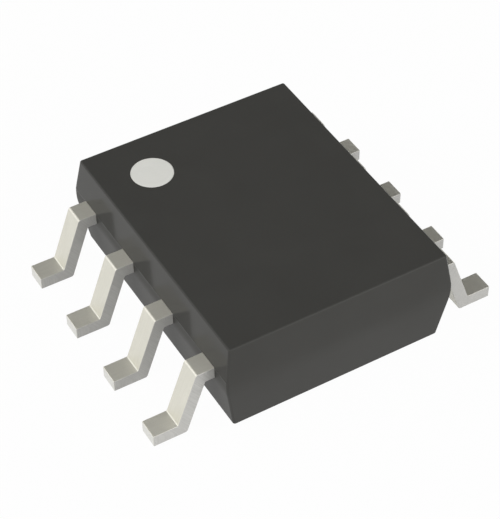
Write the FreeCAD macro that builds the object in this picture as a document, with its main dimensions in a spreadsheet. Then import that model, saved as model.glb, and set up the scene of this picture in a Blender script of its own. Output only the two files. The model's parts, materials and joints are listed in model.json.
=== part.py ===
import FreeCAD, Part
import math
import os
import Sketcher

from FreeCAD import Vector

# Small-outline package with eight gull-wing leads
# Millimetres and degrees. Z = 0 is the seating plane, the undersides of the feet, and the Z
# axis runs through the middle of the body. The lead rows run along Y. Seen from above, pin 1
# is at -X +Y beside the round mark, and the pins count anticlockwise.

os.makedirs("parts", exist_ok=True)
doc = FreeCAD.newDocument("small_outline_package")

# Driving sizes
SIZES = (
    # Moulded body
    ("body_length", 4.93),  # along the lead rows, at the parting band
    ("body_width", 3.98),  # across the lead rows, at the parting band
    ("body_height", 1.70),
    ("upper_depth", 0.60),  # from the top face down to the leads
    ("standoff", 0.05),  # air under the body
    ("upper_side_draft", 8.4),  # slope of the two sides that carry leads
    ("lower_side_draft", 9.8),
    ("upper_end_draft", 7.4),  # slope of the two plain ends
    ("lower_end_draft", 5.9),
    ("corner_radius", 0.04),
    ("edge_radius", 0.035),
    ("ejector_mark_diameter", 0.90),
    ("ejector_mark_depth", 0.03),
    ("ejector_mark_spacing", 2.60),
    # Mark beside pin 1
    ("mark_diameter", 0.70),
    ("mark_thickness", 0.03),
    ("mark_side_inset", 0.95),
    ("mark_end_inset", 0.925),
    # Leads outside the body
    ("lead_pitch", 1.27),
    ("lead_span", 6.10),  # from tip to tip
    ("lead_width", 0.365),
    ("lead_thickness", 0.215),
    ("foot_length", 0.57),
    ("leg_lean", 19.8),  # away from the vertical
    ("outer_bend_radius", 0.08),
    ("inner_bend_radius", 0.05),
    # Leads inside the body
    ("inner_paddle_width", 0.62),
    ("corner_paddle_width", 0.46),
    ("paddle_inset", 0.22),  # from the body's side to the paddle
    ("paddle_gap", 0.22),  # from a paddle to the die pad beside it
    ("tie_gap", 0.40),  # from a tie bar to the corner paddles
    ("lock_hole_diameter", 0.18),
    ("lock_hole_inset", 0.24),
    # Die pad and its tie bars
    ("pad_width", 2.20),
    ("pad_drop", 0.25),  # from the leads down to the pad
    ("tie_bar_width", 0.30),
    ("tie_bar_root", 0.25),
    ("tie_bar_lean", 45.0),
    ("tie_bar_flat", 0.20),
    ("tie_bar_cover", 0.06),  # compound over the trimmed end
    # Die and its bond
    ("die_length", 2.00),
    ("die_width", 1.60),
    ("die_thickness", 0.25),
    ("attach_thickness", 0.025),
    ("attach_margin", 0.05),
    # Bond wires
    ("wire_diameter", 0.025),
    ("ball_diameter", 0.075),
    ("ball_height", 0.02),
    ("bond_inset", 0.10),  # from the die's edge to the ball
    ("bond_pitch", 0.60),  # between the two middle balls of a side
    ("loop_height", 0.15),
    ("loop_crest", 0.30),
    ("stitch_inset", 0.15),  # from the paddle's end to the stitch
)

sheet = doc.addObject("Spreadsheet::Sheet", "Sizes")
for row, (alias, value) in enumerate(SIZES, start=1):
    sheet.set(f"A{row}", alias)
    sheet.set(f"B{row}", str(value))
    sheet.setAlias(f"B{row}", alias)
doc.recompute()

# Places that more than one piece shares
LEADS_PER_ROW = 4
LEAD_TOP = "(Sizes.standoff + Sizes.body_height - Sizes.upper_depth)"
LEAD_UNDERSIDE = f"({LEAD_TOP} - Sizes.lead_thickness)"
BODY_TOP = "(Sizes.standoff + Sizes.body_height)"
PAD_TOP = f"({LEAD_TOP} - Sizes.pad_drop)"
PAD_UNDERSIDE = f"({PAD_TOP} - Sizes.lead_thickness)"
DIE_TOP = f"({PAD_TOP} + Sizes.attach_thickness + Sizes.die_thickness)"
CORNER_LEAD_Y = f"(Sizes.lead_pitch * {(LEADS_PER_ROW - 1) / 2})"
PAD_END = f"({CORNER_LEAD_Y} - Sizes.corner_paddle_width / 2 - Sizes.paddle_gap)"
PADDLE_END = "(Sizes.body_width / 2 - Sizes.paddle_inset)"
INNER_PADDLE_START = "(Sizes.pad_width / 2 + Sizes.paddle_gap)"
CORNER_PADDLE_START = "(Sizes.tie_bar_width / 2 + Sizes.tie_gap)"
TIE_BAR_END = "(Sizes.body_length / 2 - Sizes.tie_bar_cover)"
BOND_X = "(Sizes.die_width / 2 - Sizes.bond_inset)"
CORNER_BOND_Y = "(Sizes.die_length / 2 - Sizes.bond_inset)"
MARK_X = "-(Sizes.body_width / 2 - Sizes.mark_side_inset)"
MARK_Y = "(Sizes.body_length / 2 - Sizes.mark_end_inset)"
MARK_UNDERSIDE = f"({BODY_TOP} - Sizes.mark_thickness)"

NEAR = 1e-6


def number(expression):
    """What an expression over the sheet comes to now."""
    return float(sheet.evalExpression(expression))


def new_body(label, x="0", y="0", z="0"):
    """An empty body whose origin is bound to a place."""
    body = doc.addObject("PartDesign::Body", label)
    body.Label = label
    for axis, place in zip("xyz", (x, y, z)):
        body.setExpression(f"Placement.Base.{axis}", place)
    return body


def origin_plane(body, role):
    """One of the body's own origin planes."""
    return next(plane for plane in body.Origin.OriginFeatures if plane.Role == role)


def new_sketch(body, name, role, x="0", y="0", lift="0"):
    """A sketch on one of the body's own origin planes, with its origin bound to a place."""
    sketch = body.newObject("Sketcher::SketchObject", name)
    sketch.AttachmentSupport = [(origin_plane(body, role), "")]
    sketch.MapMode = "FlatFace"
    for axis, place in zip("xyz", (x, y, lift)):
        sketch.setExpression(f"AttachmentOffset.Base.{axis}", place)
    return sketch


def dimension(sketch, kind, places, name, expression):
    """A named dimension of a sketch, bound to the sheet."""
    index = sketch.addConstraint(Sketcher.Constraint(kind, *places, number(expression)))
    sketch.renameConstraint(index, name)
    sketch.setExpression(f"Constraints.{name}", expression)


def draw_circle(sketch, diameter):
    """A circle about the sketch's origin."""
    circle = Part.Circle(Vector(), Vector(0, 0, 1), number(diameter) / 2)
    sketch.addGeometry(circle)
    sketch.addConstraint(Sketcher.Constraint("Coincident", 0, 3, -1, 1))
    dimension(sketch, "Diameter", (0,), "diameter", diameter)


def draw_polyline(sketch, corners):
    """Straight edges from corner to corner. Returns the edges in that order."""
    points = [Vector(x, y, 0) for x, y in corners]
    edges = []
    for start, end in zip(points, points[1:]):
        edges.append(sketch.addGeometry(Part.LineSegment(start, end)))
    for edge, following in zip(edges, edges[1:]):
        sketch.addConstraint(Sketcher.Constraint("Coincident", edge, 2, following, 1))
    return edges


def draw_polygon(sketch, corners):
    """A closed outline. Returns its edges, each leaving the corner of the same place."""
    edges = draw_polyline(sketch, [*corners, corners[0]])
    sketch.addConstraint(Sketcher.Constraint("Coincident", edges[-1], 2, edges[0], 1))
    return edges


def draw_rectangle(sketch, width, length):
    """A rectangle about the sketch's origin."""
    x = number(width) / 2
    y = number(length) / 2
    foot, right, head, left = draw_polygon(sketch, [(-x, -y), (x, -y), (x, y), (-x, y)])
    for level in (foot, head):
        sketch.addConstraint(Sketcher.Constraint("Horizontal", level))
    for upright in (right, left):
        sketch.addConstraint(Sketcher.Constraint("Vertical", upright))
    sketch.addConstraint(Sketcher.Constraint("Symmetric", foot, 1, head, 1, -1, 1))
    dimension(sketch, "DistanceX", (foot, 1, foot, 2), "width", width)
    dimension(sketch, "DistanceY", (right, 1, right, 2), "length", length)


def draw_rounded_rectangle(sketch, width, length, radius):
    """A rectangle about the sketch's origin, with its four corners rounded."""
    size = number(radius)
    x = number(width) / 2 - size
    y = number(length) / 2 - size
    centres = [Vector(x, y, 0), Vector(-x, y, 0), Vector(-x, -y, 0), Vector(x, -y, 0)]
    arcs = []
    for quarter, centre in enumerate(centres):
        circle = Part.Circle(centre, Vector(0, 0, 1), size)
        start = quarter * math.pi / 2
        arcs.append(Part.ArcOfCircle(circle, start, start + math.pi / 2))
    corners = [sketch.addGeometry(arc) for arc in arcs]
    lines = []
    for arc, corner, next_arc, next_corner in zip(
        arcs, corners, arcs[1:] + arcs[:1], corners[1:] + corners[:1]
    ):
        line = sketch.addGeometry(Part.LineSegment(arc.EndPoint, next_arc.StartPoint))
        sketch.addConstraint(Sketcher.Constraint("Tangent", corner, 2, line, 1))
        sketch.addConstraint(Sketcher.Constraint("Tangent", line, 2, next_corner, 1))
        lines.append(line)
    head, left, foot, right = lines
    for level in (head, foot):
        sketch.addConstraint(Sketcher.Constraint("Horizontal", level))
    for upright in (left, right):
        sketch.addConstraint(Sketcher.Constraint("Vertical", upright))
    first, *others = corners
    for corner in others:
        sketch.addConstraint(Sketcher.Constraint("Equal", first, corner))
    sketch.addConstraint(Sketcher.Constraint("Symmetric", first, 3, corners[2], 3, -1, 1))
    dimension(sketch, "Radius", (first,), "radius", radius)
    dimension(sketch, "DistanceX", (left, 1, right, 1), "width", width)
    dimension(sketch, "DistanceY", (foot, 1, head, 1), "length", length)


def add_pad(body, sketch, length, symmetric=False):
    """Raises a sketch from its plane, or to both sides of it."""
    pad = body.newObject("PartDesign::Pad", f"{sketch.Name}_pad")
    pad.Profile = sketch
    pad.setExpression("Length", length)
    pad.SideType = "Symmetric" if symmetric else "One side"
    sketch.Visibility = False
    return pad


def add_pocket(body, sketch, depth):
    """Sinks a sketch below its plane."""
    pocket = body.newObject("PartDesign::Pocket", f"{sketch.Name}_pocket")
    pocket.Profile = sketch
    pocket.setExpression("Length", depth)
    sketch.Visibility = False
    return pocket


def add_fillet(body, base, edges, radius):
    """Rounds the named edges of a feature."""
    fillet = body.newObject("PartDesign::Fillet", f"{base.Name}_{len(body.Group)}_fillet")
    fillet.Base = (base, edges)
    fillet.setExpression("Radius", radius)
    return fillet


def edges_on_level(shape, level):
    """Names of the edges that lie wholly at one height."""
    names = []
    for index, edge in enumerate(shape.Edges, start=1):
        if all(abs(corner.Z - level) < NEAR for corner in edge.Vertexes):
            names.append(f"Edge{index}")
    return names


def edge_across(shape, x, z):
    """Name of the edge that crosses a strip at one place of its side profile."""
    for index, edge in enumerate(shape.Edges, start=1):
        if all(math.hypot(corner.X - x, corner.Z - z) < NEAR for corner in edge.Vertexes):
            return f"Edge{index}"
    raise ValueError(f"no bend at {x:.3f}, {z:.3f}")


def make_mould_form():
    """The outside of the moulded body: two drafted halves that meet at a straight parting band.

    The band is as deep as the leads are thick. The upper half of the tool and the lower half
    each draw away from it, so every side leans in above and below. The ends lean less than the
    sides that carry the leads, and the lower half leans by angles of its own.
    """
    body = new_body("mould_form")
    depth_below = f"({LEAD_UNDERSIDE} - Sizes.standoff)"
    levels = (
        ("head_section", BODY_TOP, "Sizes.upper_depth", "upper"),
        ("band_head_section", LEAD_TOP, "0", "upper"),
        ("band_foot_section", LEAD_UNDERSIDE, "0", "lower"),
        ("foot_section", "Sizes.standoff", depth_below, "lower"),
    )
    sections = []
    for name, level, away, half in levels:
        sketch = new_sketch(body, name, "XY_Plane", lift=level)
        width = f"Sizes.body_width - 2 * {away} * tan(Sizes.{half}_side_draft)"
        length = f"Sizes.body_length - 2 * {away} * tan(Sizes.{half}_end_draft)"
        draw_rounded_rectangle(sketch, width, length, "Sizes.corner_radius")
        sketch.Visibility = False
        sections.append(sketch)
    loft = body.newObject("PartDesign::AdditiveLoft", "drafted_halves")
    loft.Profile = sections[0]
    loft.Sections = sections[1:]
    loft.Ruled = True
    doc.recompute()

    # Broken edges of the top and bottom faces
    rims = edges_on_level(loft.Shape, number(BODY_TOP))
    rims += edges_on_level(loft.Shape, number("Sizes.standoff"))
    add_fillet(body, loft, rims, "Sizes.edge_radius")

    # Seat of the mark beside pin 1
    seat = new_sketch(body, "mark_seat", "XY_Plane", x=MARK_X, y=MARK_Y, lift=BODY_TOP)
    draw_circle(seat, "Sizes.mark_diameter")
    add_pocket(body, seat, "Sizes.mark_thickness")

    # Two round marks of the ejector pins in the underside
    for side, name in ((1, "ejector_mark_back"), (-1, "ejector_mark_front")):
        middle = f"{side} * Sizes.ejector_mark_spacing / 2"
        top_of_mark = "Sizes.standoff + Sizes.ejector_mark_depth"
        mark = new_sketch(body, name, "XY_Plane", y=middle, lift=top_of_mark)
        draw_circle(mark, "Sizes.ejector_mark_diameter")
        add_pocket(body, mark, "2 * Sizes.ejector_mark_depth")
    return body


def draw_joggle(sketch, high_end, low_bend, low_end, high_top, low_foot, lean, outward):
    """Side profile of a flat strip that leans down from one level to another.

    high_end and low_end are where the strip's two flats end, low_bend is the corner under the
    lower flat, high_top and low_foot are the heights of the upper flat's top and the lower
    flat's underside. The strip descends outward, or else towards the sketch's origin. The two
    faces of the leaning part are held parallel, one thickness apart, as in a formed strip.
    Returns the four bends as (x, height): outside, inside, inside, outside of the two bends.
    """
    way = 1 if outward else -1
    thickness = number("Sizes.lead_thickness")
    slope = math.tan(math.radians(number(lean)))
    across = thickness / math.cos(math.radians(number(lean)))
    top = number(high_top)
    foot = number(low_foot)
    corner = number(low_bend)
    under = corner - way * (top - thickness - foot) * slope
    over = corner - way * ((top - foot) * slope - across)
    inner = corner - way * (thickness * slope - across)
    edges = draw_polygon(
        sketch,
        [
            (number(high_end), top),
            (over, top),
            (inner, foot + thickness),
            (number(low_end), foot + thickness),
            (number(low_end), foot),
            (corner, foot),
            (under, top - thickness),
            (number(high_end), top - thickness),
        ],
    )
    high_face, lean_face, low_face, tip, low_back, lean_back, high_back, root = edges
    for flat in (high_face, low_face, low_back, high_back):
        sketch.addConstraint(Sketcher.Constraint("Horizontal", flat))
    for end in (tip, root):
        sketch.addConstraint(Sketcher.Constraint("Vertical", end))
    sketch.addConstraint(Sketcher.Constraint("Parallel", lean_face, lean_back))
    strip = "Sizes.lead_thickness"
    dimension(sketch, "Distance", (high_back, 1, lean_face), "leaning_thickness", strip)
    dimension(sketch, "DistanceY", (root, 1, high_face, 1), "high_thickness", strip)
    dimension(sketch, "DistanceY", (low_back, 1, tip, 1), "low_thickness", strip)
    dimension(sketch, "DistanceY", (-1, 1, high_face, 1), "high_top", high_top)
    dimension(sketch, "DistanceX", (-1, 1, high_face, 1), "high_end", high_end)
    dimension(sketch, "DistanceX", (-1, 1, low_back, 1), "low_end", low_end)
    dimension(sketch, "DistanceX", (-1, 1, lean_back, 1), "low_bend", low_bend)
    fall = f"({high_top} - Sizes.lead_thickness - {low_foot})"
    ends = (high_back, 1, lean_back, 1) if outward else (lean_back, 1, high_back, 1)
    dimension(sketch, "DistanceX", ends, "run", f"{fall} * tan({lean})")
    dimension(sketch, "DistanceY", (lean_back, 1, high_back, 1), "fall", fall)
    return (over, top), (inner, foot + thickness), (under, top - thickness), (corner, foot)


def make_lead(pin):
    """One lead, stamped and formed from one strip.

    Inside the body it ends in a paddle that takes the bond wire and holds the lead against a
    pull. The paddles of the corner leads reach in past the die pad and have a lock hole that
    the compound fills. Outside, the strip steps down to a flat foot on the board.
    """
    first_row = pin <= LEADS_PER_ROW
    step = (pin - 1) % LEADS_PER_ROW
    side = 1 if first_row else -1
    from_middle = side * ((LEADS_PER_ROW - 1) / 2 - step)
    at_corner = step in (0, LEADS_PER_ROW - 1)
    body = new_body(f"lead_{pin}", y=f"{from_middle} * Sizes.lead_pitch")
    body.Placement.Rotation = FreeCAD.Rotation(Vector(0, 0, 1), 180 if first_row else 0)
    paddle_start = CORNER_PADDLE_START if at_corner else INNER_PADDLE_START
    paddle_width = "Sizes.corner_paddle_width" if at_corner else "Sizes.inner_paddle_width"

    # Gull-wing strip
    profile = new_sketch(body, f"profile_{pin}", "XZ_Plane")
    over, inner, under, corner = draw_joggle(
        profile,
        high_end=paddle_start,
        low_bend="(Sizes.lead_span / 2 - Sizes.foot_length)",
        low_end="(Sizes.lead_span / 2)",
        high_top=LEAD_TOP,
        low_foot="0",
        lean="Sizes.leg_lean",
        outward=True,
    )
    strip = add_pad(body, profile, "Sizes.lead_width", symmetric=True)
    doc.recompute()

    # Bends: the outside of each is rounder than the inside
    outside = [edge_across(strip.Shape, *over), edge_across(strip.Shape, *corner)]
    rounded = add_fillet(body, strip, outside, "Sizes.outer_bend_radius")
    doc.recompute()
    inside = [edge_across(rounded.Shape, *inner), edge_across(rounded.Shape, *under)]
    add_fillet(body, rounded, inside, "Sizes.inner_bend_radius")

    # Paddle inside the body
    middle = f"({paddle_start} + {PADDLE_END}) / 2"
    reach = f"({PADDLE_END} - {paddle_start})"
    outline = new_sketch(body, f"paddle_{pin}", "XY_Plane", x=middle, lift=LEAD_UNDERSIDE)
    draw_rectangle(outline, reach, paddle_width)
    add_pad(body, outline, "Sizes.lead_thickness")
    if at_corner:
        hole_x = f"{PADDLE_END} - Sizes.lock_hole_inset"
        hole = new_sketch(body, f"lock_hole_{pin}", "XY_Plane", x=hole_x, lift=LEAD_TOP)
        draw_circle(hole, "Sizes.lock_hole_diameter")
        add_pocket(body, hole, "Sizes.lead_thickness")
    return body


def make_die_pad():
    """The plate that carries the die, set down below the leads, with its two tie bars.

    The tie bars held the pad in the lead frame while the body was moulded round it. Each climbs
    from the pad to the leads' level and ends under a skin of compound in the body's end.
    """
    body = new_body("die_pad")
    plate = new_sketch(body, "pad_outline", "XY_Plane", lift=PAD_UNDERSIDE)
    draw_rectangle(plate, "Sizes.pad_width", f"2 * {PAD_END}")
    add_pad(body, plate, "Sizes.lead_thickness")

    profile = new_sketch(body, "tie_bar_profile", "YZ_Plane")
    draw_joggle(
        profile,
        high_end=TIE_BAR_END,
        low_bend=f"({PAD_END} + Sizes.tie_bar_flat)",
        low_end=f"({PAD_END} - Sizes.tie_bar_root)",
        high_top=LEAD_TOP,
        low_foot=PAD_UNDERSIDE,
        lean="Sizes.tie_bar_lean",
        outward=False,
    )
    tie_bar = add_pad(body, profile, "Sizes.tie_bar_width", symmetric=True)
    mirrored = body.newObject("PartDesign::Mirrored", "second_tie_bar")
    mirrored.Originals = [tie_bar]
    mirrored.MirrorPlane = (origin_plane(body, "XZ_Plane"), [""])
    body.Tip = mirrored
    return body


def make_plate(label, width, length, thickness, level):
    """A plain rectangular layer in the middle of the package."""
    body = new_body(label, z=level)
    outline = new_sketch(body, f"{label}_outline", "XY_Plane")
    draw_rectangle(outline, width, length)
    add_pad(body, outline, thickness)
    return body


def make_bond_wire(pin):
    """One bond wire, from a ball on the die over a loop to a stitch on its lead's paddle.

    Its body's X axis points from the ball to the stitch. The wire rises out of the ball, runs
    level past the die's edge and slopes down to the paddle, where it is pressed off flat.
    """
    first_row = pin <= LEADS_PER_ROW
    step = (pin - 1) % LEADS_PER_ROW
    side = -1 if first_row else 1
    lead_side = 1 if first_row else -1
    from_middle = lead_side * ((LEADS_PER_ROW - 1) / 2 - step)
    at_corner = step in (0, LEADS_PER_ROW - 1)
    end = 1 if from_middle > 0 else -1
    bond_x = f"({side} * {BOND_X})"
    bond_y = f"({end} * {CORNER_BOND_Y if at_corner else '(Sizes.bond_pitch / 2)'})"
    paddle_start = CORNER_PADDLE_START if at_corner else INNER_PADDLE_START
    away_x = f"({side} * ({paddle_start} + Sizes.stitch_inset) - {bond_x})"
    away_y = f"({from_middle} * Sizes.lead_pitch - {bond_y})"
    reach = f"hypot({away_x}; {away_y})"
    drop = f"({DIE_TOP} - {LEAD_TOP})"

    body = new_body(f"bond_wire_{pin}", bond_x, bond_y, DIE_TOP)
    body.setExpression("Placement.Rotation.Angle", f"atan2({away_y}; {away_x})")

    # Centre line: up out of the ball, level, then down on to the paddle
    start = "Sizes.ball_height / 2"
    depth = f"{drop} + Sizes.wire_diameter"
    path = new_sketch(body, f"path_{pin}", "XZ_Plane")
    rise, crest, slope = draw_polyline(
        path,
        [
            (0, number(start)),
            (0, number("Sizes.loop_height")),
            (number("Sizes.loop_crest"), number("Sizes.loop_height")),
            (number(reach), -number(depth)),
        ],
    )
    path.addConstraint(Sketcher.Constraint("PointOnObject", rise, 1, -2))
    path.addConstraint(Sketcher.Constraint("Vertical", rise))
    path.addConstraint(Sketcher.Constraint("Horizontal", crest))
    dimension(path, "DistanceY", (-1, 1, rise, 1), "start", start)
    dimension(path, "DistanceY", (-1, 1, rise, 2), "loop_height", "Sizes.loop_height")
    dimension(path, "DistanceX", (-1, 1, crest, 2), "crest", "Sizes.loop_crest")
    dimension(path, "DistanceX", (-1, 1, slope, 2), "reach", reach)
    dimension(path, "DistanceY", (slope, 2, -1, 1), "depth", depth)
    section = new_sketch(body, f"section_{pin}", "XY_Plane", lift=start)
    draw_circle(section, "Sizes.wire_diameter")
    wire = body.newObject("PartDesign::AdditivePipe", f"wire_{pin}")
    wire.Profile = section
    wire.Spine = path
    wire.Transition = "Right corner"

    # Ball on the die
    ball = new_sketch(body, f"ball_{pin}", "XY_Plane")
    draw_circle(ball, "Sizes.ball_diameter")
    add_pad(body, ball, "Sizes.ball_height")

    # Stitch: the wire ends on the paddle's face
    stitch = new_sketch(body, f"stitch_{pin}", "XY_Plane", x=reach, lift=f"-{drop}")
    draw_circle(stitch, f"2 * {reach}")
    add_pocket(body, stitch, "2 * Sizes.wire_diameter")
    return body


def make_mark():
    """The round mark beside pin 1: a disc of pale ink, level with the top face."""
    body = new_body("pin_one_mark", MARK_X, MARK_Y, MARK_UNDERSIDE)
    disc = new_sketch(body, "mark_outline", "XY_Plane")
    draw_circle(disc, "Sizes.mark_diameter")
    add_pad(body, disc, "Sizes.mark_thickness")
    return body


# Lead frame
pins = range(1, 2 * LEADS_PER_ROW + 1)
leads = [make_lead(pin) for pin in pins]
die_pad = make_die_pad()

# Die and its bonds
margin = "2 * Sizes.attach_margin"
die_attach = make_plate(
    "die_attach",
    f"Sizes.die_width + {margin}",
    f"Sizes.die_length + {margin}",
    "Sizes.attach_thickness",
    PAD_TOP,
)
die = make_plate(
    "die",
    "Sizes.die_width",
    "Sizes.die_length",
    "Sizes.die_thickness",
    f"{PAD_TOP} + Sizes.attach_thickness",
)
wires = [make_bond_wire(pin) for pin in pins]

# Moulded body: the compound flows round everything that the lead frame carries
core = doc.addObject("Part::MultiFuse", "moulded_in")
core.Shapes = [*leads, die_pad, die_attach, die, *wires]
core.Refine = False
mould = doc.addObject("Part::Cut", "mould_body")
mould.Label = "mould_body"
mould.Base = make_mould_form()
mould.Tool = core
mould.Refine = False
mark = make_mark()
doc.recompute()

# Checks, then one file a piece
parts = [mould, mark, *leads, die_pad, die_attach, die, *wires]
for item in doc.Objects:
    if "Invalid" in item.State or "Error" in item.State:
        raise RuntimeError(f"{item.Name} failed: {item.State}")
for part in parts:
    if part.Shape.isNull() or not part.Shape.isValid():
        raise RuntimeError(f"{part.Label} has no valid shape")
    if len(part.Shape.Solids) != 1:
        raise RuntimeError(f"{part.Label} isn't one solid")
for part in parts:
    part.Shape.exportStep(f"parts/{part.Label}.step")
    print(f"{part.Label}: {part.Shape.Volume:.5f} mm3")
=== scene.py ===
# %% [markdown]
# # A small-outline chip in the studio
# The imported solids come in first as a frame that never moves. Everything is in metres and in that
# same frame: the board is the plane z = 0, the two rows of leads run along y, and x crosses the
# body from row to row. Real sizes here are fractions of a millimetre, so most values are written
# in millimetres and multiplied by `MM` where they become geometry.

# %% Load the frame
import json
import math

import bmesh
import bpy
from mathutils import Matrix, Quaternion, Vector
from mathutils import noise as value_noise
from mathutils.geometry import tessellate_polygon

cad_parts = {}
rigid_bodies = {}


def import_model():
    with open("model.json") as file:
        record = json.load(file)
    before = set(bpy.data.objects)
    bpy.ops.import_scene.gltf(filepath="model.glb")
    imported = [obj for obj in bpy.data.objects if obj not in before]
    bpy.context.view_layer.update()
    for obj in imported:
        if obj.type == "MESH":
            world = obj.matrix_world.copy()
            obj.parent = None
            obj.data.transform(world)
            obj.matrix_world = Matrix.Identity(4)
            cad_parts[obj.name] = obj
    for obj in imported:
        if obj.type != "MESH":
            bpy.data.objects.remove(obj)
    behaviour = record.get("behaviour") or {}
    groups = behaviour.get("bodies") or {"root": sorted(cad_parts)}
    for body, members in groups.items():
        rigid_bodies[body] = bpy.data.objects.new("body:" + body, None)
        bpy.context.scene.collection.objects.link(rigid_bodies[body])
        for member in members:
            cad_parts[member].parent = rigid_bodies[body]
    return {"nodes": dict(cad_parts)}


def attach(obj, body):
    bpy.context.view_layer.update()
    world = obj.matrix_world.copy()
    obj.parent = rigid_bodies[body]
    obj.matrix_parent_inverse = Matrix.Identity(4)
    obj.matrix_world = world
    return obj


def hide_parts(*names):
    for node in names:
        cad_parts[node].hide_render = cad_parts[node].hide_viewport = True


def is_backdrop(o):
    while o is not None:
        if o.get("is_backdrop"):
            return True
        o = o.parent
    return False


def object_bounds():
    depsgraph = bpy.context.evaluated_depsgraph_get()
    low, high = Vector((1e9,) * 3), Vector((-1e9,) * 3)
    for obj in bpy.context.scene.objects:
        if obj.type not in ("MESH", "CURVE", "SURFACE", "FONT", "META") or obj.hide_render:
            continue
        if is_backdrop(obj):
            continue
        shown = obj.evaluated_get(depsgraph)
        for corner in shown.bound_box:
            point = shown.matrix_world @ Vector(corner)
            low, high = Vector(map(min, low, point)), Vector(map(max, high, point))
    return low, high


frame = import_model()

MM = 0.001
studio = bpy.context.scene
cad_low, cad_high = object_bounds()
print("solids, lowest corner in mm:", [round(v / MM, 3) for v in cad_low])
print("solids, highest corner in mm:", [round(v / MM, 3) for v in cad_high])

# %% [markdown]
# ## The camera
# The picture looks down on the corner below pin 4 from about 45 degrees. The body's parallel
# edges stay almost parallel in it, so the lens is long: a tele lens three centimetres from a chip
# six millimetres wide. The direction, the distance and the focal length were found by laying the
# body's corners and the leads' ends over the picture until they met within half a pixel. The
# camera is placed from those angles instead of by hand, so that a better angle is one new number.

# %% Camera
PICTURE = (500, 519)
AZIMUTH = math.radians(-30.1158)
HEIGHT = math.radians(44.9681)
ROLL = math.radians(-0.4773)
DISTANCE = 29.4185 * MM
AIM = Vector((-0.2219, -0.1093, 0.8)) * MM
FOCAL_PIXELS = 1862.9900

away = Vector(
    (
        math.sin(AZIMUTH) * math.cos(HEIGHT),
        -math.cos(AZIMUTH) * math.cos(HEIGHT),
        math.sin(HEIGHT),
    )
)
lens = bpy.data.cameras.new("tele_lens")
lens.sensor_width = 36
lens.lens = FOCAL_PIXELS * lens.sensor_width / max(PICTURE)
lens.clip_start = 1 * MM
lens.clip_end = 2
camera = bpy.data.objects.new("camera", lens)
studio.collection.objects.link(camera)
camera.rotation_mode = "QUATERNION"
upright = (-away).to_track_quat("-Z", "Y")
upright.rotate(Quaternion(away, ROLL))
camera.rotation_quaternion = upright
camera.location = AIM + away * DISTANCE
studio.camera = camera
studio.view_settings.view_transform = "Standard"
print("focal length in mm:", round(lens.lens, 1))

# %% [markdown]
# ## Small helpers for shader nodes
# A material here is a short chain of nodes. Three helpers keep the cells readable: one adds a
# node and fills its sockets, one makes a mask out of any number, and one makes an empty node
# group with named inputs and outputs.

# %% Node helpers
def add_node(tree, kind, feeds=None, **settings):
    """A new node; `feeds` gives each named or numbered input a value or another node's output."""
    node = tree.nodes.new(kind)
    for key, value in settings.items():
        setattr(node, key, value)
    for socket, value in (feeds or {}).items():
        if isinstance(value, bpy.types.NodeSocket):
            tree.links.new(value, node.inputs[socket])
        else:
            node.inputs[socket].default_value = value
    return node


def add_mask(tree, value, start, end):
    """A mask that runs from 0 to 1 as the value runs from `start` to `end`."""
    node = add_node(
        tree, "ShaderNodeMapRange", {"Value": value, "From Min": start, "From Max": end}
    )
    return node.outputs["Result"]


def new_effect(name, inputs, outputs):
    """An empty node group: inputs are (name, kind, default), outputs are (name, kind)."""
    group = bpy.data.node_groups.new(name, "ShaderNodeTree")
    for label, kind, default in inputs:
        socket = group.interface.new_socket(name=label, in_out="INPUT", socket_type=kind)
        socket.default_value = default
    for label, kind in outputs:
        group.interface.new_socket(name=label, in_out="OUTPUT", socket_type=kind)
    start = group.nodes.new("NodeGroupInput")
    end = group.nodes.new("NodeGroupOutput")
    return group, start, end


NUMBER = "NodeSocketFloat"
print("plain numbers pass through sockets of the kind", NUMBER)

# %% [markdown]
# ## Effect one: grain
# Moulded compound, plated tin and printed ink all have a fine, even grain, each with its own size
# of grain. A bitmap would have to be wrapped round every face; noise that is worked out from the
# place in space needs no wrapping and stays sharp at any distance. A helper turns the place into
# millimetres, so the size of a grain is written as it is on the real thing.

# %% Grain
def add_noise(tree, size, detail, roughness, distortion=0.0):
    """Noise from 0 to 1 with features of `size` millimetres on the object."""
    place = add_node(tree, "ShaderNodeTexCoord")
    place_in_mm = add_node(
        tree, "ShaderNodeVectorMath", {0: place.outputs["Object"], 1: (1 / MM,) * 3},
        operation="MULTIPLY",
    )
    per_mm = add_node(tree, "ShaderNodeMath", {0: 1.0, 1: size}, operation="DIVIDE")
    noise = add_node(
        tree, "ShaderNodeTexNoise",
        {"Vector": place_in_mm.outputs[0], "Scale": per_mm.outputs[0], "Detail": detail,
         "Roughness": roughness, "Distortion": distortion},
    )
    return noise.outputs["Fac"]


grain, g_in, g_out = new_effect(
    "fine_grain",
    (("Grain Size", NUMBER, 0.03), ("Contrast", NUMBER, 1.0)),
    (("Mask", NUMBER), ("Height", NUMBER)),
)
speckle = add_noise(grain, g_in.outputs["Grain Size"], 3.0, 0.6)
centred = add_node(grain, "ShaderNodeMath", {0: speckle, 1: 0.5}, operation="SUBTRACT")
stretched = add_node(
    grain, "ShaderNodeMath", {0: centred.outputs[0], 1: g_in.outputs["Contrast"]},
    operation="MULTIPLY",
)
lifted = add_node(
    grain, "ShaderNodeMath", {0: stretched.outputs[0], 1: 0.5}, operation="ADD",
    use_clamp=True,
)
grain.links.new(lifted.outputs[0], g_out.inputs["Mask"])
grain.links.new(speckle, g_out.inputs["Height"])
print("grain group:", len(grain.nodes), "nodes")

# %% [markdown]
# ## Effect two: drift
# No surface is evenly rough. Compound flows and cures a little unevenly, plating is thicker in
# some places, and fingers and trays polish both. Broad soft noise gives a slow drift that moves
# the colour by a few percent, over patches of a few tenths of a millimetre.

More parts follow.
